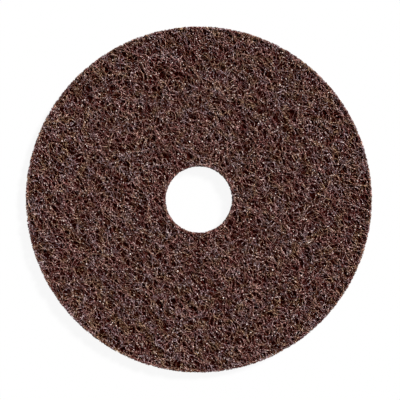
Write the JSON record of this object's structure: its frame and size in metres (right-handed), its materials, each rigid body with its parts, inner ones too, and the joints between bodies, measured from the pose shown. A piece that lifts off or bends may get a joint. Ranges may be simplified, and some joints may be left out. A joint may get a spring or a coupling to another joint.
{
  "type": "surface conditioning disc",
  "caption": "Round flat disc of non-woven abrasive web with a plain centre hole, an open fibrous working face and a flat back.",
  "frame": {"origin": "centre of the flat back face, on the axis of the centre hole", "axes": "+Z along the disc's axis, out of the working face; +X and +Y in the plane of the disc"},
  "size_m": [0.115, 0.115, 0.0059],
  "materials": {
    "abrasive_web": "matte fibrous, resin-bonded, dark brown"
  },
  "bodies": {
    "root": {"abrasive_disc": "abrasive_web"}
  },
  "joints": []
}
